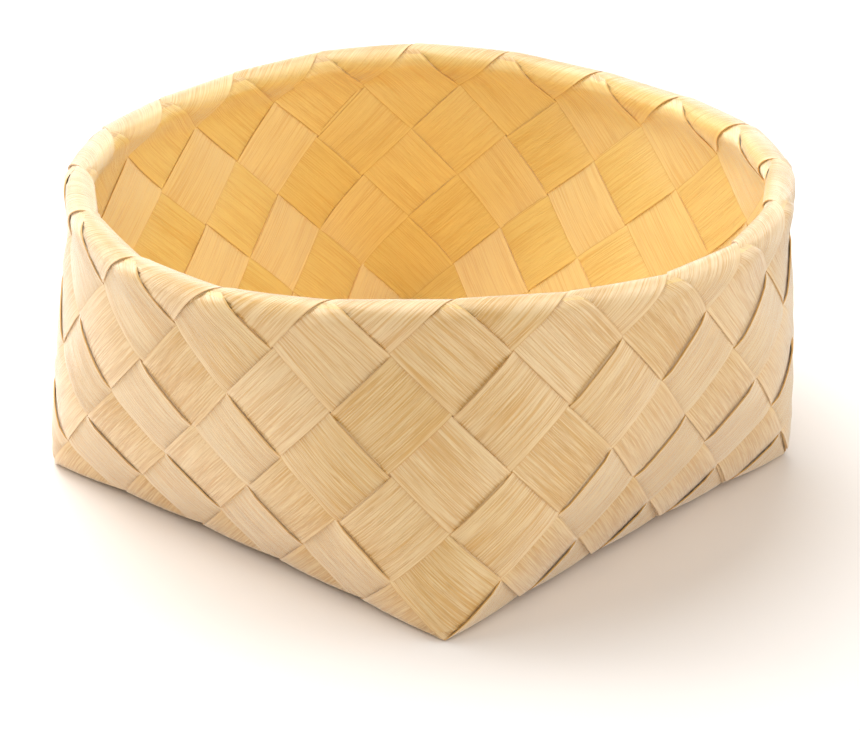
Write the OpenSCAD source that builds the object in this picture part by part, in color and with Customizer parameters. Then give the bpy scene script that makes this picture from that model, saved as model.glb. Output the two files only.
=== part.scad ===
// Plaited splint basket: a square base, bellied walls and a round rolled rim.
// Every splint crosses the base at a slant to its sides, climbs the wall, rolls over the
// rim and is plaited back down the wall, so the wall has two splints each way.

/* [Splints] */
// Width of one splint
splint_width = 25; // [16:0.5:36]
// Thickness of one splint
splint_thick = 0.6; // [0.4:0.05:1]
// Slit between the edges of neighbouring splints
slit = 1; // [0.7:0.1:2.5]
// Air between a splint and the layer next to it
layer_air = 0.2; // [0.1:0.05:0.5]

/* [Basket] */
// Cells along one side of the base, from corner to corner of each cell
side_cells = 5; // [3:1:7]
// Cells up the wall, from corner to corner of each cell
wall_cells = 3; // [2:1:5]
// How far the rim circle is let out beyond the plait's own girth
rim_ease = 0.4; // [0:0.2:8]
// How far the wall is let out in height beyond the plait's own cells
wall_ease = 1.8; // [0:0.2:8]
// How much wider the round form is at the foot than at the rim
foot_swell = 12; // [0:1:25]
// Radius of the base's upright corners
corner_round = 6; // [3:0.5:15]
// How early the wall turns from square to round, 1 being evenly
belly = 1.65; // [1:0.05:3]
// How far the rim rises over each base corner, and dips between them
rim_wave = 1.8; // [0:0.2:4]
// Room inside the rolled rim beyond its folded layers
rim_roll = 2.8; // [0.4:0.1:4]
// Straight steps round the rolled rim
roll_steps = 6; // [3:1:10]

/* [Hidden] */
// Colours of the two sets of splints
warp_colour = [0.88, 0.77, 0.56];
weft_colour = [0.83, 0.71, 0.49];

// One cell of the plait: the square where two splints cross, and its diagonal
pitch = splint_width + slit;
diagonal = pitch * sqrt(2);
// Half a splint, in cells
half = splint_width / pitch / 2;
// From the middle of one layer to the middle of the next
layer = splint_thick + layer_air;
// Radius of the small hole where cells meet on the base edge, and at a base corner
edge_hole = layer;
corner_hole = 3 * layer;

// Middle of the base's two layers, above the floor
base_level = layer / 2 + splint_thick / 2;
rim_radius = 4 * side_cells * diagonal / (2 * PI) + rim_ease;
wall_height = wall_cells * diagonal + wall_ease;
// The rim's roll has one end of each splint inside and one outside
inner_roll = rim_roll + 0.5 * layer;
outer_roll = rim_roll + 1.5 * layer;
// The roll takes half of its girth from the top of the wall, which can spare a small share
roll_take_up = min(PI * outer_roll / 2, 0.06 * wall_height);
// The cell that the rim folds, counted in half diagonals up from the base edge
rim_row = 2 * wall_cells;

// Half the step, in cell diagonals, over which the wall's slope is taken
probe = 0.002;

// The sets of splints turn the base sides parallel to X and Y
first_turn = 45;
set_size = 2 * side_cells;
function numbered(set, number) = str(set, "_splint_", number < 10 ? "0" : "", number);

function turned(spot, angle) = [
    spot.x * cos(angle) - spot.y * sin(angle),
    spot.x * sin(angle) + spot.y * cos(angle)
];
function unit(arrow) = arrow / norm(arrow);

// A place on the wall is given in cell diagonals: along goes round the basket from a base
// corner, and up goes from the base edge to the rim.

// Places next to where cells meet on the base edge move away, which leaves a small hole
function clear_of_knot(along, up) =
    let (
        knot = round(along),
        way = [along - knot, up],
        hole = knot % side_cells == 0 ? corner_hole : edge_hole
    )
    [knot, 0] + way * max(1, hole / diagonal / norm(way));

// The square outline of the base, with its corners rounded off
function base_edge(along) =
    let (
        corner = round(along / side_cells),
        past = (along - corner * side_cells) * pitch,
        set_back = abs(past) > corner_round
            ? abs(past)
            : (pow(past, 2) / corner_round + corner_round) / 2
    )
    turned([side_cells * pitch - set_back, past], 90 * corner);

// The wall blends from the square of the base to the circle of the rim
function wall_at(along, up) =
    let (
        share = min(up / wall_cells, 1),
        roundness = 1 - pow(1 - share, belly),
        radius = rim_radius + foot_swell * (1 - share),
        angle = 90 * along / side_cells,
        square_spot = base_edge(along) * (1 - roundness),
        round_spot = [cos(angle), sin(angle)] * radius * roundness,
        spot = square_spot + round_spot,
        wave = rim_wave * cos(4 * angle) * share,
        in_top_cell = max(share * wall_cells - wall_cells + 1, 0)
    )
    [spot.x, spot.y,
        base_level + share * wall_height + wave - pow(in_top_cell, 2) * roll_take_up];

// Which way is up along the wall, and which way is out of it
function wall_up(along, up) =
    let (low = max(up - probe, 0))
    unit(wall_at(along, min(low + 2 * probe, wall_cells)) - wall_at(along, low));
function wall_out(along, up) =
    unit(cross(wall_at(along + probe, up) - wall_at(along - probe, up), wall_up(along, up)));
// Out of the crease at the base edge, long enough for both faces beside it
function crease_out(along) =
    let (out = wall_out(along, 0))
    (out + [0, 0, -1]) / (1 - out.z);

// A splint is followed outwards from its middle, in rows of cells that are counted from the
// base edge. Beyond the rim its rows go back down the wall, outside the splint that it meets.
// One end of each splint leans inwards over the rim (lean 1) and the other outwards (lean -1).

// Layer of a splint in a row, out from the middle of the wall
function layer_place(row, lean, returning) =
    let (
        odd = row % 2 != 0,
        outer = ((lean < 0) == odd) != returning
    )
    returning ? (outer ? 1.5 : -0.5) : outer ? 0.5 : row < 0 ? -0.5 : -1.5;

// The two ends of a splint are mirror images in their route
function sided(spot, lean) = [-lean * spot.x, spot.y, spot.z];

// Both faces of a splint at one corner of a cell: ahead and aside are measured from the
// cell's middle, along and across the splint
function cell_corner(from_middle, lean, row, ahead, aside) =
    let (
        rise = (row + ahead + aside) / 2,
        returning = rise > wall_cells,
        place = clear_of_knot(
            (2 * from_middle + 1 - row + aside - ahead) / 2,
            returning ? rim_row - rise : rise
        ),
        along = place.x,
        up = place.y,
        on_base = up < -probe,
        creased = !on_base && up < probe,
        spot = on_base
            ? [(side_cells + up - along) * pitch, (along + up) * pitch, base_level]
            : wall_at(along, max(up, 0)),
        out = on_base ? [0, 0, -1] : creased ? crease_out(along) : wall_out(along, up),
        middle = layer_place(row, lean, returning) * layer,
        face = (returning ? -1 : 1) * splint_thick / 2
    )
    [for (side = [1, -1]) sided(spot + (middle + side * face) * out, lean)];

// Both faces of a splint at one end of its fold over the rim, at each step of the roll
function rim_fold(from_middle, lean, aside) =
    let (
        along = (2 * from_middle + 1 - rim_row) / 2 + aside,
        spot = wall_at(along, wall_cells),
        out = wall_out(along, wall_cells),
        up = wall_up(along, wall_cells),
        radius = lean > 0 ? inner_roll : outer_roll
    )
    [for (step = [0:roll_steps])
        let (
            angle = 180 * step / roll_steps,
            arrow = lean * cos(angle) * out + sin(angle) * up
        )
        [for (side = [1, -1])
            sided(spot + (radius + side * lean * splint_thick / 2) * arrow, lean)]];

// Rows of one end of a splint
function first_row(from_middle) = from_middle + 1 - side_cells;
function last_row(lean) = 2 * rim_row - (lean > 0 ? 0 : 1);

// One edge of a splint, out from its middle to its end. Aside is -half or half.
function edge(from_middle, lean, aside) =
    [for (row = [first_row(from_middle):last_row(lean)])
        let (
            folds = row == rim_row,
            ends = row == 2 * rim_row
        )
        each concat(
            folds && aside > 0 ? [] : [cell_corner(from_middle, lean, row, -half, aside)],
            folds ? rim_fold(from_middle, lean, aside) : [],
            (folds && aside < 0) || (ends && aside > 0)
                ? []
                : [cell_corner(from_middle, lean, row, half, aside)]
        )];

// The order in which a splint's triangles step along its two edges: 0 for the edge at
// -half and 1 for the edge at half. A creased cell steps across its level diagonal.
function steps(from_middle, lean) =
    [for (row = [first_row(from_middle):last_row(lean)])
        let (between = row == first_row(from_middle) ? [] : [1, 0])
        each concat(
            between,
            row == rim_row ? [0, for (step = [1:roll_steps]) each [0, 1], 1]
            : row == 2 * rim_row ? [0]
            : row == 0 ? [0, 1]
            : [1, 0]
        )];

function backwards(list) = [for (place = [len(list) - 1:-1:0]) list[place]];

// One closed band between two edges, each a list of its two faces' points
module band(low_edge, high_edge, order) {
    low_count = len(low_edge);
    high_count = len(high_edge);
    high_start = 2 * low_count;
    points = [each for (spot = low_edge) spot, each for (spot = high_edge) spot];
    triangles = [
        for (place = 0, low = 0, high = 0;
            place < len(order);
            low = low + 1 - order[place], high = high + order[place], place = place + 1)
        [2 * low, high_start + 2 * high,
            order[place] == 0 ? 2 * low + 2 : high_start + 2 * high + 2]
    ];
    // The rim of the band between its two faces, from one point of an edge to the next
    function strip(from, to) = [[from, to, to + 1], [from, to + 1, from + 1]];
    low_last = 2 * low_count - 2;
    high_last = high_start + 2 * high_count - 2;
    polyhedron(
        points,
        [
            for (triangle = triangles) [triangle[0], triangle[2], triangle[1]],
            for (triangle = triangles) [triangle[0] + 1, triangle[1] + 1, triangle[2] + 1],
            for (spot = [0:2:low_last - 2]) each strip(spot + 2, spot),
            for (spot = [high_start:2:high_last - 2]) each strip(spot, spot + 2),
            each strip(0, high_start),
            each strip(high_last, low_last)
        ]
    );
}

// One splint of a set, counted across the base
module splint(number) {
    near = number <= side_cells;
    from_middle = near ? side_cells - number : number - side_cells - 1;
    rotate([0, 0, first_turn + (near ? 180 : 0)])
        band(
            concat(backwards(edge(from_middle, 1, -half)), edge(from_middle, -1, -half)),
            concat(backwards(edge(from_middle, 1, half)), edge(from_middle, -1, half)),
            concat(backwards(steps(from_middle, 1)), [1, 0], steps(from_middle, -1))
        );
}

module warp_splint(number) {
    color(warp_colour) splint(number);
}

module weft_splint(number) {
    color(weft_colour) rotate([0, 0, 90]) splint(number);
}

for (number = [1:set_size]) {
    warp_splint(number);
    weft_splint(number);
}
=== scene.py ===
import math

import bmesh
import bpy
import numpy as np
from mathutils import Matrix, Vector


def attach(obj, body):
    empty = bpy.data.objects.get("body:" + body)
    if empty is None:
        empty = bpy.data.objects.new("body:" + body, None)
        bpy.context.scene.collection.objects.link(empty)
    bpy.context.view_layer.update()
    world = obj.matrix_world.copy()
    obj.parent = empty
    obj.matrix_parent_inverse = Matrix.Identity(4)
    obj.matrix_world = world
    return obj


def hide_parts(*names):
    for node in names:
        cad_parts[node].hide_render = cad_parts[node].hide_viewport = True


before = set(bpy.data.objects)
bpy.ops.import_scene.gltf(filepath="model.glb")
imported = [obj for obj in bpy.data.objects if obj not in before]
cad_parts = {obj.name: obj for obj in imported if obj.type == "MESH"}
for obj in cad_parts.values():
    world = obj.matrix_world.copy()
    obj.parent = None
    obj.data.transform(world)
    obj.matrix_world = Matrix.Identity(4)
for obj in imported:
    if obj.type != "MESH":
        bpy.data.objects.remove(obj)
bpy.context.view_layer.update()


# Warp splints: ten flat strips, split thin from straight-grained pale wood, that cross the base
# one way. Each bends up at the base edge, is plaited up the wall on the slant, rolls over the
# rim and is plaited back down outside the splint that it meets, which is all that holds it.

# One splint, and the square cell where two of them cross
splint_width = 0.0258
splint_thick = 0.00045
pitch = 0.026
diagonal = pitch * math.sqrt(2)

# Cells along a base side and up the wall, from corner to corner, and the row that the rim folds
side_cells = 5
wall_cells = 3
rim_row = 2 * wall_cells

# The base arches a little between its corners. Its fold at the edge, and the stretch in which it
# takes up the wall's outline, are in cell diagonals.
base_level = 0.0004
base_arch = 0.002
base_fold = 0.1
base_blend = 0.3
corner_round = 0.004

# The wall goes from a square with rounded corners to the rim's circle and keeps its girth.
# Half path is half a side of it, and full round is the radius of a circle with that girth.
half_path = side_cells * diagonal / 2 - (1 - math.pi / 4) * corner_round
full_round = half_path * 4 / math.pi
rim_ease = -0.0003
wall_ease = 0.003
rim_radius = 4 * side_cells * diagonal / (2 * math.pi) + rim_ease
wall_height = wall_cells * diagonal + wall_ease
wall_swell = 0.0026
belly = 1.5
rim_wave = 0.0018

# The plait: how far layers lie apart, how far a splint swings out and in, how its edges sink, and
# how much an upper edge stands up again on the tails and at the foot. Stretches are in cells.
layer = 0.0006
weave_depth = 0.00095
wall_start = (-0.3, 0.1)
bend_length = 0.46
bend_narrowing = 1.1
edge_droop = 0.42
inward_tail_lift = 1.0
outward_tail_lift = 1.5
foot_lift = 2.9
lifted_edge = (0.1, 0.45)
lifted_foot = (0.02, 0.22)

# The rolled rim: the room in it, its flats between the cells, and how its splints pass each other
rim_room = 0.0041
rim_start = 0.52
rim_calm = 0.5
rim_facet = 0.001
facet_middle = 0.6
rim_lap = 0.0004
rim_inset = 0.0009
crossing_shift = 0.3
crossing_reach = 0.28
tip_reach = (0.42, 0.5)
tip_gap = 0.0002
inner_roll = rim_room + 0.5 * layer
outer_roll = rim_room + 1.5 * layer
roll_reach = math.pi / 2 * outer_roll / diagonal

# Half the step, in cell diagonals, over which the wall's slope is taken, and the least size that
# the fold at a base corner and the length of an arrow may have
probe = 0.004
least_fold = 1e-6
least_arrow = 1e-12


# A place on the basket is given in cell diagonals: along goes round from a base corner, and up
# goes from the base edge to the rim, with the base below nought.

def ease(value, low, high):
    part = np.clip((value - low) / (high - low), 0, 1)
    return part * part * (3 - 2 * part)


def outline(along, rounding):
    corner = np.round(along / side_cells)
    past = (along - corner * side_cells) * 2 * half_path / side_cells
    on_arc = np.minimum(np.abs(past) / rounding, np.pi / 4)
    on_side = np.maximum(np.abs(past) - np.pi / 4 * rounding, 0) / math.sqrt(2)
    reach = (half_path - rounding * math.pi / 4) * math.sqrt(2) + rounding * np.cos(on_arc) - on_side
    over = np.sign(past) * (rounding * np.sin(on_arc) + on_side)
    turn = np.pi / 2 * corner
    return reach * np.cos(turn) - over * np.sin(turn), reach * np.sin(turn) + over * np.cos(turn)


def arch_lift(x, y):
    half_side = side_cells * diagonal / 2
    across = (x - y) / math.sqrt(2) / half_side
    deep = (x + y) / math.sqrt(2) / half_side
    return base_arch * np.clip(1 - (across * deep) ** 2, 0, 1)


def wall_place(along, up):
    share = np.clip(up / wall_cells, 0, 1)
    roundness = 1 - (1 - share) ** belly
    x, y = outline(along, corner_round + (full_round - corner_round) * roundness)
    swell = wall_swell * 4 * share * (1 - share) + (rim_radius - full_round) * roundness
    swell = 1 + swell / np.hypot(x, y)
    angle = np.pi / 2 * along / side_cells
    z = base_level + share * wall_height + rim_wave * np.cos(4 * angle) * share
    z = z + arch_lift(*outline(along, corner_round)) * (1 - share) ** 2
    return np.stack([x * swell, y * swell, z], -1)


def base_place(along, up):
    edge_x, edge_y = outline(along, corner_round)
    sharp_x, sharp_y = (side_cells - along) * pitch, along * pitch
    near_edge = np.clip(1 + up / base_blend, 0, 1)
    x = sharp_x + up * pitch + (edge_x - sharp_x) * near_edge
    y = sharp_y + up * pitch + (edge_y - sharp_y) * near_edge
    return np.stack([x, y, base_level + arch_lift(x, y)], -1)


def basket_place(along, up):
    from_corner = np.abs(along - side_cells * np.round(along / side_cells))
    reach = np.minimum(base_fold, from_corner) + least_fold
    part = np.clip((up + reach) / (2 * reach), 0, 1)[..., None]
    low = base_place(along, np.minimum(up, -reach))
    edge = wall_place(along, np.zeros_like(up))
    high = wall_place(along, np.maximum(up, reach))
    return low * (1 - part) ** 2 + edge * 2 * part * (1 - part) + high * part ** 2


def unit(arrows):
    return arrows / np.maximum(np.linalg.norm(arrows, axis=-1, keepdims=True), least_arrow)


# A splint is laid out in cells: run is measured out from its middle, and aside across it. One
# end of it leans inwards over the rim (lean 1) and the other outwards (lean -1). Where it passes
# over or under another it bends, most steeply at its edges.

def bend(along_it, across_it):
    length = bend_length - bend_narrowing * across_it ** 2
    return np.sin(np.pi / 2 * np.clip((0.5 - np.abs(along_it)) / length, 0, 1))


def splint_place(from_middle, lean, run, aside):
    middle = from_middle + 0.5
    rise = (run + middle + aside - side_cells) / 2
    along = (middle + aside - run + side_cells) / 2
    returning = rise > wall_cells
    up = np.where(returning, rim_row - rise, rise)
    roll = np.pi / 2 * np.clip((up - wall_cells + roll_reach) / roll_reach, 0, 1)
    up = np.minimum(up, wall_cells - roll_reach)

    spot = basket_place(along, up)
    out = unit(np.cross(basket_place(along + probe, up) - basket_place(along - probe, up),
                        basket_place(along, up + probe) - basket_place(along, up - probe)))
    rising = unit(spot - basket_place(along, up - probe))

    first = side_cells - middle
    row = np.floor(run - first + 0.5)
    ahead = run - first - row
    odd = np.mod(row, 2) == 1
    side = np.where(((lean < 0) == odd) != returning, 1, -1)
    on_wall = ease(up, *wall_start)
    at_rim = ease(up, wall_cells - rim_start, wall_cells - roll_reach)
    depth = weave_depth * on_wall * (1 - rim_calm * at_rim) + 0.5 * layer * (1 - on_wall)
    tail_lift = outward_tail_lift if lean < 0 else inward_tail_lift
    lifted = tail_lift * ease(-aside, *lifted_edge) * returning
    if lean > 0:
        lifted = lifted + foot_lift * ease(aside, *lifted_edge) * ease(up, *lifted_foot) * (row == 0)
    crown = 1 - edge_droop * (1 - lifted) * (1 - bend(aside, ahead)) * on_wall * (1 - at_rim)
    swing = depth * bend(ahead, aside) * crown
    partner = np.where(returning, 0.5, -0.5 * on_wall) * layer

    in_fold = run - first - rim_row
    to_cross = np.where(returning, 0.5 - in_fold, in_fold + 0.5) - crossing_shift * lean
    spread = np.sin(np.pi / 2 * np.clip(to_cross / crossing_reach, -1, 1))
    spread = np.where(returning, -lean, lean) * spread
    lap = rim_lap * aside * (lean < 0)
    facet = rim_facet * (4 * (along - np.floor(along) - 0.5) ** 2 - facet_middle)
    level = (side * swing + partner + (rim_room * spread + lap) * at_rim) * np.cos(roll)
    level = level + (facet - rim_inset) * at_rim
    tip = (outer_roll - inner_roll - tip_gap) * ease(np.abs(in_fold), *tip_reach)
    over = np.where(returning, lap, -lap) * np.cos(roll)
    height = np.sin(roll) * (inner_roll + tip if lean > 0 else outer_roll + over)
    place = spot + level[..., None] * out + height[..., None] * rising
    outward = np.where(returning, -1, 1) * np.cos(roll)
    facing = outward[..., None] * out + (lean * np.sin(roll))[..., None] * rising
    mirror = np.array([-lean, 1, 1])
    return place * mirror, facing * mirror, outward, np.clip(up / wall_cells, 0, 1)


# Plaited by hand, the wall is a little uneven: the rim rises and sways by a millimetre or two
# on its way round, and the rows sag between the corners. Each value is in millimetres: the same
# all round, then once and twice round, as cosine and sine from the right-hand base corner.

rim_rise = (0, (0.4, -1.3), (-0.6, -0.8))
row_sag = (-1.7, (-0.3, 1.4), (-1.6, -0.3))
rim_sway = (0, (0.6, -2.2), (0.8, 1.5))
belly_sway = (0, (-0.2, -1.0), (0.8, -0.8))
foot_sway = (0, (-1.4, 0.5), (-0.4, 0))
belly_slip = (0, (-0.2, -0.4), (-0.5, 0.6))
foot_slip = (-0.2, (-2.5, 0.8), (-0.2, -1.2))
sway_growth = 1.65
slip_fade = 0.09


def hand_made(place, share):
    angle = np.arctan2(place[..., 1], place[..., 0]) - np.pi / 4
    once = np.stack([np.cos(angle), np.sin(angle)])
    twice = np.stack([np.cos(2 * angle), np.sin(2 * angle)])

    def round_it(uneven):
        plain, first, second = uneven
        return (plain + np.tensordot(first, once, 1) + np.tensordot(second, twice, 1)) / 1000

    rim = 1 - (1 - share) ** sway_growth
    mid = 4 * share * (1 - share)
    foot = (1 - share) ** 2
    lift = share * round_it(rim_rise) + mid * round_it(row_sag)
    sway = rim * round_it(rim_sway) + mid * round_it(belly_sway) + foot * round_it(foot_sway)
    slip = mid * round_it(belly_slip) + foot * round_it(foot_slip)
    reach = np.maximum(np.hypot(place[..., 0], place[..., 1]), slip_fade)
    x, y = place[..., 0] / reach, place[..., 1] / reach
    return place + np.stack([x * sway - y * slip, y * sway + x * slip, lift], -1)


# Crossways lines of a splint's mesh, out from its middle. They turn to lie along the fold at the
# base edge and along the rim. Where they run is in cells.

cell_lines = (0, 0.17, 0.33, 0.43, 0.5, 0.57, 0.67, 0.83)
half_cell_lines = (0, 0.07, 0.17, 0.33)
turning_lines = np.linspace(0, 1, 10)[1:]
fold_lines = np.linspace(-1, 1, 8)[1:]
roll_lines = np.linspace(-1, 1, 13)[1:]
inward_tail_end = 12.4
outward_tail_end = 11.48
base_edge_gap = 0.2


def splint_lines(from_middle, lean, aside):
    first = side_cells - from_middle - 0.5
    lines = []

    def straight(start, stop):
        for row in range(int(round(stop - start))):
            lines.extend(np.full_like(aside, start + row + part) for part in cell_lines)
        lines.append(np.full_like(aside, stop))

    def turn_to(line):
        before = lines[-1]
        lines.extend(before + (line - before) * part for part in turning_lines)

    if first > 1:
        lines.extend(np.full_like(aside, part) for part in half_cell_lines)
        straight(0.5, first - 1)
    else:
        lines.append(np.zeros_like(aside))
    turn_to(np.maximum(first - aside - 2 * base_fold, 0))
    lines.extend(np.maximum(first - aside + 2 * base_fold * part, 0) for part in fold_lines)
    turn_to(np.full_like(aside, first + 1))
    lines.pop()
    straight(first + 1, first + rim_row - 1)
    turn_to(first + rim_row - aside - 2 * roll_reach)
    lines.extend(first + rim_row - aside + 2 * roll_reach * part for part in roll_lines)
    turn_to(np.full_like(aside, first + rim_row + 1))
    lines.pop()
    straight(first + rim_row + 1, first + 2 * rim_row - 1)
    tail_end = inward_tail_end if lean > 0 else outward_tail_end
    turn_to(np.minimum(first + 2 * rim_row - aside - base_edge_gap, first + tail_end))
    return np.array(lines)


# A splint's mesh: two faces of quads a thickness apart, and a strip of quads round their edge.
# Its line sways, its width varies, and its tails lie a little aside, each by its own chance.

columns_across = np.array([-1, -0.9, -0.66, -0.24, 0.24, 0.66, 0.9, 1])
slow_sway, slow_wave = 0.0003, 0.9
quick_sway, quick_wave = 0.00016, 2.3
tail_shift = 0.0006
width_play, width_wave = 0.012, 0.6
tone_on_wall, tone_on_tail, tone_of_end = 0.4, 0.6, 0.5
# How far a face must turn into the basket before it gets the painted inside light
inward_look = (0.2, 1)
grain_step, grain_turn = 1.37, 0.21
floor_gap = 0.00005
same_point = 1e-7
crease_angle = math.radians(50)


def band_faces(lines, columns):
    count = lines * columns
    grid = np.arange(count).reshape(lines, columns)
    front = np.stack([grid[:-1, :-1], grid[:-1, 1:], grid[1:, 1:], grid[1:, :-1]], -1).reshape(-1, 4)
    back = front[:, ::-1] + count
    around = np.concatenate([grid[:, 0], grid[-1, 1:], grid[-2::-1, -1], grid[0, -2:0:-1]])
    after = np.roll(around, -1)
    return np.concatenate([front, back, np.stack([around, after, after + count, around + count], -1)])


def splint_mesh(name, number, turn):
    near = number <= side_cells
    from_middle = side_cells - number if near else number - side_cells - 1
    first = side_cells - from_middle - 0.5
    random = np.random.default_rng(100 * number + turn)
    aside = splint_width / pitch / 2 * columns_across

    ends = []
    for lean in (1, -1):
        run = splint_lines(from_middle, lean, aside)
        if lean > 0:
            run = run[:0:-1]
        returning = ease(run, first + rim_row - 0.5, first + rim_row + 1.5)
        phase = random.uniform(0, 2 * np.pi, 3)
        sway = slow_sway * np.sin(run * slow_wave + phase[0])
        sway = sway + quick_sway * np.sin(run * quick_wave + phase[1])
        sway = sway + returning * random.uniform(-tail_shift, tail_shift)
        width = 1 + width_play * np.sin(run * width_wave + phase[2])
        wide = np.broadcast_to(aside, run.shape)
        shape = splint_place(from_middle, lean, run, wide * width + sway / pitch)
        tone = random.uniform(-1, 1) * (tone_on_wall + tone_on_tail * returning)
        tone = tone + random.uniform(-tone_of_end, tone_of_end)
        ends.append((*shape, -lean * run * pitch, wide * pitch, tone))
    place, facing, outward, share, run, across, tone = (np.concatenate(both) for both in zip(*ends))

    angle = math.radians(45 + turn + (180 if near else 0))
    turned = np.array([[math.cos(angle), -math.sin(angle), 0],
                       [math.sin(angle), math.cos(angle), 0], [0, 0, 1]])
    place, facing = hand_made(place @ turned.T, share), facing @ turned.T
    points = np.concatenate([(place + facing * splint_thick / 2).reshape(-1, 3),
                             (place - facing * splint_thick / 2).reshape(-1, 3)])
    points[:, 2] = np.maximum(points[:, 2], floor_gap)

    mesh = bpy.data.meshes.new(name)
    mesh.from_pydata(points.tolist(), [], band_faces(*run.shape).tolist())
    corner = np.empty(len(mesh.loops), np.int32)
    mesh.loops.foreach_get("vertex_index", corner)
    flat = np.stack([np.tile(run.ravel(), 2) + number * grain_step + turn * grain_turn,
                     np.tile(across.ravel(), 2)], -1)
    mesh.uv_layers.new(name="splint_run").data.foreach_set("uv", flat[corner].ravel())
    tone_layer = mesh.attributes.new("splint_tone", "FLOAT", "POINT")
    tone_layer.data.foreach_set("value", np.tile(tone.ravel(), 2))
    # looks_inward marks the faces that turn into the basket, where the material paints warmer,
    # brighter light
    inward = ease(np.concatenate([-outward.ravel(), outward.ravel()]), *inward_look)
    mesh.attributes.new("looks_inward", "FLOAT", "POINT").data.foreach_set("value", inward)

    joined = bmesh.new()
    joined.from_mesh(mesh)
    bmesh.ops.remove_doubles(joined, verts=joined.verts, dist=same_point)
    joined.to_mesh(mesh)
    joined.free()
    mesh.polygons.foreach_set("use_smooth", np.ones(len(mesh.polygons), bool))
    mesh.update()
    mesh.set_sharp_from_angle(angle=crease_angle)
    piece = bpy.data.objects.new(name, mesh)
    bpy.context.collection.objects.link(piece)
    return piece


# The wood's grain: fine fibres along the splint, short tan streaks and broad faint bands. Along
# both edges it is paler and smoother, and a darker line is painted on the cut faces and in the last
# 0.3 mm beside them. This is painted shade for the slits where the splints cross. Faces that look
# into the basket get a calmer grain and painted light, warmer and brighter than outside. The
# widths are from the edge.

pale_from, pale_to = 0.0018, 0.0004
# Width of the darker line painted at each edge as shade in the slits between crossing splints
painted_shade_from, painted_shade_to = 0.0003, 0.0001


def add_node(tree, kind, inputs=None, **settings):
    made = tree.nodes.new(kind)
    for name, value in settings.items():
        setattr(made, name, value)
    for name, value in (inputs or {}).items():
        made.inputs[name].default_value = value
    return made


splint_grain = bpy.data.node_groups.new("splint_grain", "ShaderNodeTree")
for name in ("Pale", "Tan", "Streak", "Inside"):
    splint_grain.interface.new_socket(name, in_out="INPUT", socket_type="NodeSocketColor")
splint_grain.interface.new_socket("Color", in_out="OUTPUT", socket_type="NodeSocketColor")
for name in ("Roughness", "Height"):
    splint_grain.interface.new_socket(name, in_out="OUTPUT", socket_type="NodeSocketFloat")
link = splint_grain.links.new
given = splint_grain.nodes.new("NodeGroupInput")
result = splint_grain.nodes.new("NodeGroupOutput")
on_splint = add_node(splint_grain, "ShaderNodeUVMap", uv_map="splint_run")


def grain_noise(lengthways, crossways, shift, detail):
    spread = add_node(splint_grain, "ShaderNodeMapping",
                      {"Location": (shift, shift * 3, shift), "Scale": (lengthways, crossways, 1)})
    noise = add_node(splint_grain, "ShaderNodeTexNoise",
                     {"Scale": 1.0, "Detail": detail, "Roughness": 0.6})
    link(on_splint.outputs["UV"], spread.inputs["Vector"])
    link(spread.outputs["Vector"], noise.inputs["Vector"])
    return noise.outputs["Fac"]


def grain_range(value, low, high, to_low, to_high):
    made = add_node(splint_grain, "ShaderNodeMapRange",
                    {"From Min": low, "From Max": high, "To Min": to_low, "To Max": to_high})
    link(value, made.inputs["Value"])
    return made.outputs["Result"]


def grain_sum(first, second, way="ADD"):
    made = add_node(splint_grain, "ShaderNodeMath", operation=way)
    for place, value in enumerate((first, second)):
        if isinstance(value, (int, float)):
            made.inputs[place].default_value = value
        else:
            link(value, made.inputs[place])
    return made.outputs[0]


def grain_mix(amount, first, second, way="MIX"):
    made = add_node(splint_grain, "ShaderNodeMix", data_type="RGBA", blend_type=way)
    for place, value in ((0, amount), (6, first), (7, second)):
        link(value, made.inputs[place])
    return made.outputs[2]


fibres = grain_noise(lengthways=40, crossways=2300, shift=0.0, detail=2)
fibres = grain_range(fibres, 0.38, 0.62, 0, 1)
streaks = grain_noise(lengthways=120, crossways=2100, shift=4.3, detail=2)
streaks = grain_range(streaks, 0.48, 0.68, 0, 1)
bands = grain_noise(lengthways=10, crossways=300, shift=9.1, detail=3)
clouds = grain_noise(lengthways=22, crossways=70, shift=6.7, detail=2)
inward = add_node(splint_grain, "ShaderNodeAttribute", attribute_name="looks_inward").outputs["Fac"]
across = add_node(splint_grain, "ShaderNodeSeparateXYZ")
link(on_splint.outputs["UV"], across.inputs["Vector"])
from_line = grain_sum(across.outputs["Y"], 0, "ABSOLUTE")
edge = grain_range(from_line, splint_width / 2 - pale_from, splint_width / 2 - pale_to, 0, 1)
from_edge = grain_range(edge, 0, 1, 1, 0.45)
# Faces that look into the basket get a quieter, less tan grain here. Below, their colour is also
# multiplied by the inside light colour. Together these are painted light, warmer and brighter inside
# than out.
calm = grain_range(inward, 0, 1, 1, 0.6)
tan = grain_sum(grain_range(fibres, 0, 1, -0.6, 0.6), grain_range(bands, 0.3, 0.7, -0.3, 0.3))
tan = grain_sum(tan, grain_range(clouds, 0.3, 0.7, -0.2, 0.2))
tan = grain_sum(grain_sum(tan, calm, "MULTIPLY"), grain_range(inward, 0, 1, 0.4, 0.13))
tan = grain_range(grain_sum(tan, from_edge, "MULTIPLY"), 0, 1, 0, 1)
streaks = grain_sum(streaks, from_edge, "MULTIPLY")
streaks = grain_sum(streaks, grain_range(clouds, 0.35, 0.65, 0.2, 0.7), "MULTIPLY")
streaks = grain_sum(streaks, grain_range(inward, 0, 1, 1, 0.25), "MULTIPLY")
wood = grain_mix(tan, given.outputs["Pale"], given.outputs["Tan"])
wood = grain_mix(streaks, wood, given.outputs["Streak"])
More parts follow.
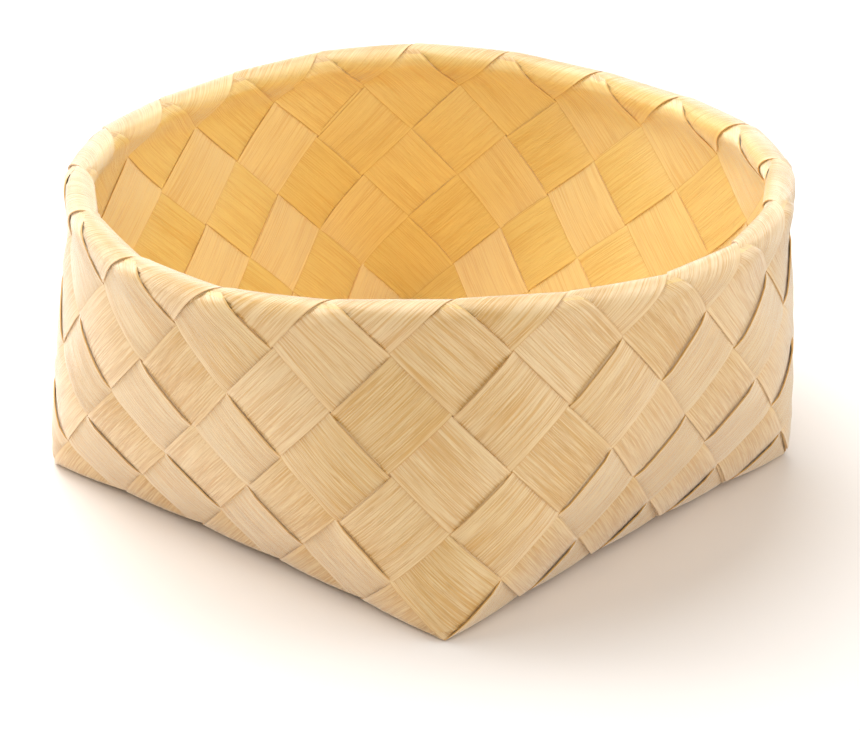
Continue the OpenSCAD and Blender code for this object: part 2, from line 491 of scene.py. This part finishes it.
# Painted shade: a darker line on the cut faces and just beside them stands for the shade in the slits
# where the splints cross
painted_edge_shade = grain_range(from_line, splint_width / 2 - painted_shade_from, splint_width / 2 - painted_shade_to, 0, 0.7)
wood = grain_mix(painted_edge_shade, wood, given.outputs["Streak"])
# Painted light: inward faces are multiplied by the inside light colour, which makes them warmer and
# brighter than the outside
wood = grain_mix(inward, wood, given.outputs["Inside"], "MULTIPLY")
tone = add_node(splint_grain, "ShaderNodeAttribute", attribute_name="splint_tone")
shade = add_node(splint_grain, "ShaderNodeHueSaturation", {"Hue": 0.5, "Fac": 1.0})
link(grain_range(tone.outputs["Fac"], -1, 1, 1.04, 0.96), shade.inputs["Value"])
link(grain_range(tone.outputs["Fac"], -1, 1, 0.94, 1.06), shade.inputs["Saturation"])
link(wood, shade.inputs["Color"])
link(shade.outputs["Color"], result.inputs["Color"])
link(grain_range(fibres, 0, 1, 0.54, 0.66), result.inputs["Roughness"])
link(grain_sum(grain_sum(fibres, streaks, "SUBTRACT"), from_edge, "MULTIPLY"), result.inputs["Height"])


def splint_wood(name, pale, tan, streak, inside_light):
    material = bpy.data.materials.new(name)
    material.use_nodes = True
    tree = material.node_tree
    shader = tree.nodes["Principled BSDF"]
    shader.inputs["IOR"].default_value = 1.8
    shader.inputs["Specular IOR Level"].default_value = 1.0
    shader.inputs["Anisotropic"].default_value = 1.0
    shader.inputs["Anisotropic Rotation"].default_value = 0.25
    shader.inputs["Sheen Weight"].default_value = 1.0
    shader.inputs["Sheen Roughness"].default_value = 0.4
    lengthways = add_node(tree, "ShaderNodeTangent", direction_type="UV_MAP", uv_map="splint_run")
    tree.links.new(lengthways.outputs["Tangent"], shader.inputs["Tangent"])
    grain = add_node(tree, "ShaderNodeGroup", node_tree=splint_grain)
    # inside_light is a painted light colour that multiplies the faces looking into the basket
    for socket, colour in (("Pale", pale), ("Tan", tan), ("Streak", streak), ("Inside", inside_light)):
        grain.inputs[socket].default_value = (*colour, 1)
    relief = add_node(tree, "ShaderNodeBump", {"Strength": 0.5, "Distance": 0.00025})
    tree.links.new(grain.outputs["Color"], shader.inputs["Base Color"])
    tree.links.new(grain.outputs["Roughness"], shader.inputs["Roughness"])
    tree.links.new(grain.outputs["Height"], relief.inputs["Height"])
    tree.links.new(relief.outputs["Normal"], shader.inputs["Normal"])
    return material


def lay_splints(kind, wood, turn):
    for number in range(1, 2 * side_cells + 1):
        node = f"{kind}_splint_{number:02d}"
        piece = splint_mesh(f"{kind}_strip_{number:02d}", number, turn)
        piece.data.materials.append(wood)
        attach(piece, "root")
        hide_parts(node)


# The inside colour paints warmer, brighter light on the faces that look into the basket
warp_wood = splint_wood("warp_wood", pale=(0.885, 0.66, 0.345), tan=(0.73, 0.42, 0.11),
                        streak=(0.63, 0.33, 0.055), inside_light=(1.125, 1.14, 0.79))
lay_splints("warp", warp_wood, 0)


# Weft splints: ten strips of the same wood that cross the base the other way and are plaited
# over and under the warp, up the wall, over the rim and back down in the same manner.

# The inside colour paints the same warmer, brighter light inside the basket as on the warp
weft_wood = splint_wood("weft_wood", pale=(0.885, 0.65, 0.335), tan=(0.72, 0.41, 0.105),
                        streak=(0.62, 0.32, 0.05), inside_light=(1.125, 1.14, 0.79))
lay_splints("weft", weft_wood, 90)


# Floor: a plain pale studio floor that the basket stands on and casts its soft shadow on. It
# fades into the white surround all round.

floor_half = 1.2
fade_start, fade_end = 0.6, 1.15
floor_mesh = bpy.data.meshes.new("floor")
floor_corners = [(x * floor_half, y * floor_half, 0) for x, y in ((-1, -1), (1, -1), (1, 1), (-1, 1))]
floor_mesh.from_pydata(floor_corners, [], [(0, 1, 2, 3)])
floor = bpy.data.objects.new("floor", floor_mesh)
bpy.context.collection.objects.link(floor)
floor_paint = bpy.data.materials.new("floor_paint")
floor_paint.use_nodes = True
floor_tree = floor_paint.node_tree
floor_shader = floor_tree.nodes["Principled BSDF"]
floor_shader.inputs["Roughness"].default_value = 0.9
floor_shader.inputs["Specular IOR Level"].default_value = 0.1
paper = add_node(floor_tree, "ShaderNodeTexNoise", {"Scale": 3.0, "Detail": 2.0})
paper_tint = add_node(floor_tree, "ShaderNodeMix", data_type="RGBA")
paper_tint.inputs[6].default_value = (0.86, 0.77, 0.65, 1)
paper_tint.inputs[7].default_value = (0.89, 0.80, 0.68, 1)
floor_tree.links.new(paper.outputs["Fac"], paper_tint.inputs[0])


def seen_or_mirrored(tree):
    path = add_node(tree, "ShaderNodeLightPath")
    seen = path.outputs["Is Camera Ray"]
    for kind in ("Is Glossy Ray", "Is Transmission Ray"):
        either = add_node(tree, "ShaderNodeMath", operation="MAXIMUM")
        tree.links.new(seen, either.inputs[0])
        tree.links.new(path.outputs[kind], either.inputs[1])
        seen = either.outputs[0]
    return seen


shown = add_node(floor_tree, "ShaderNodeMix", data_type="RGBA")
shown.inputs[7].default_value = (0.90, 0.875, 0.855, 1)
floor_tree.links.new(seen_or_mirrored(floor_tree), shown.inputs[0])
floor_tree.links.new(paper_tint.outputs[2], shown.inputs[6])
floor_tree.links.new(shown.outputs[2], floor_shader.inputs["Base Color"])
on_floor = add_node(floor_tree, "ShaderNodeTexCoord")
from_basket = add_node(floor_tree, "ShaderNodeVectorMath", operation="LENGTH")
fade = add_node(floor_tree, "ShaderNodeMapRange",
                {"From Min": fade_start, "From Max": fade_end, "To Min": 1, "To Max": 0})
floor_tree.links.new(on_floor.outputs["Object"], from_basket.inputs[0])
floor_tree.links.new(from_basket.outputs["Value"], fade.inputs["Value"])
floor_tree.links.new(fade.outputs["Result"], floor_shader.inputs["Alpha"])
floor_mesh.materials.append(floor_paint)


# Light: a white studio all round, with broad soft lamps overhead, behind, at both sides and in
# front, placed as the camera sees the basket and all turned to its middle.

studio_light = 0.35
studio_white = 1.0
world = bpy.data.worlds.new("studio")
bpy.context.scene.world = world
world.use_nodes = True
background = world.node_tree.nodes["Background"]
background.inputs["Color"].default_value = (1, 0.99, 0.975, 1)
level = add_node(world.node_tree, "ShaderNodeMapRange",
                 {"To Min": studio_light, "To Max": studio_white})
world.node_tree.links.new(seen_or_mirrored(world.node_tree), level.inputs["Value"])
world.node_tree.links.new(level.outputs["Result"], background.inputs["Strength"])

view_azimuth = math.radians(41.575)
view_right = Vector((math.cos(view_azimuth), math.sin(view_azimuth), 0))
view_towards = Vector((math.sin(view_azimuth), -math.cos(view_azimuth), 0))
lamp_aim = Vector((0, 0, 0.06))


def soft_lamp(name, to_right, to_camera, height, size, power):
    lamp = bpy.data.lights.new(name, "AREA")
    lamp.size = size
    lamp.energy = power
    lamp.color = (1, 0.985, 0.965)
    holder = bpy.data.objects.new(name, lamp)
    holder.location = to_right * view_right + to_camera * view_towards + Vector((0, 0, height))
    holder.rotation_euler = (lamp_aim - holder.location).to_track_quat("-Z", "Y").to_euler()
    bpy.context.collection.objects.link(holder)


soft_lamp("top_lamp", to_right=-0.4, to_camera=-0.3, height=1.65, size=1.2, power=23)
soft_lamp("back_lamp", to_right=-0.3, to_camera=-1.6, height=0.6, size=1.8, power=13)
soft_lamp("left_lamp", to_right=-1.4, to_camera=-0.5, height=0.5, size=1.0, power=13.5)
soft_lamp("right_lamp", to_right=1.45, to_camera=0.1, height=0.4, size=0.9, power=7)
soft_lamp("front_lamp", to_right=0.1, to_camera=1.3, height=1.5, size=1.2, power=9.6)


# Camera: a long lens in front of a base corner that looks down over the rim. The focal length
# is given in pixels of a picture of this width.

picture_width = 860
focal_pixels = 3212.5
view_elevation = math.radians(25.571)
view_roll = math.radians(0.742)
view_distance = 1.1129
target = Vector((0.00083, 0.00083, 0.03526))
camera_data = bpy.data.cameras.new("camera")
camera_data.sensor_fit = "HORIZONTAL"
camera_data.sensor_width = 36
camera_data.lens = focal_pixels / picture_width * camera_data.sensor_width
camera_data.clip_end = 20
camera = bpy.data.objects.new("camera", camera_data)
bpy.context.collection.objects.link(camera)
back = view_towards * math.cos(view_elevation) + Vector((0, 0, math.sin(view_elevation)))
level_up = back.cross(view_right)
right = view_right * math.cos(view_roll) + level_up * math.sin(view_roll)
upward = level_up * math.cos(view_roll) - view_right * math.sin(view_roll)
place = target + back * view_distance
camera.matrix_world = Matrix(((right.x, upward.x, back.x, place.x),
                              (right.y, upward.y, back.y, place.y),
                              (right.z, upward.z, back.z, place.z),
                              (0, 0, 0, 1)))
bpy.context.scene.camera = camera
bpy.context.scene.view_settings.view_transform = "Standard"
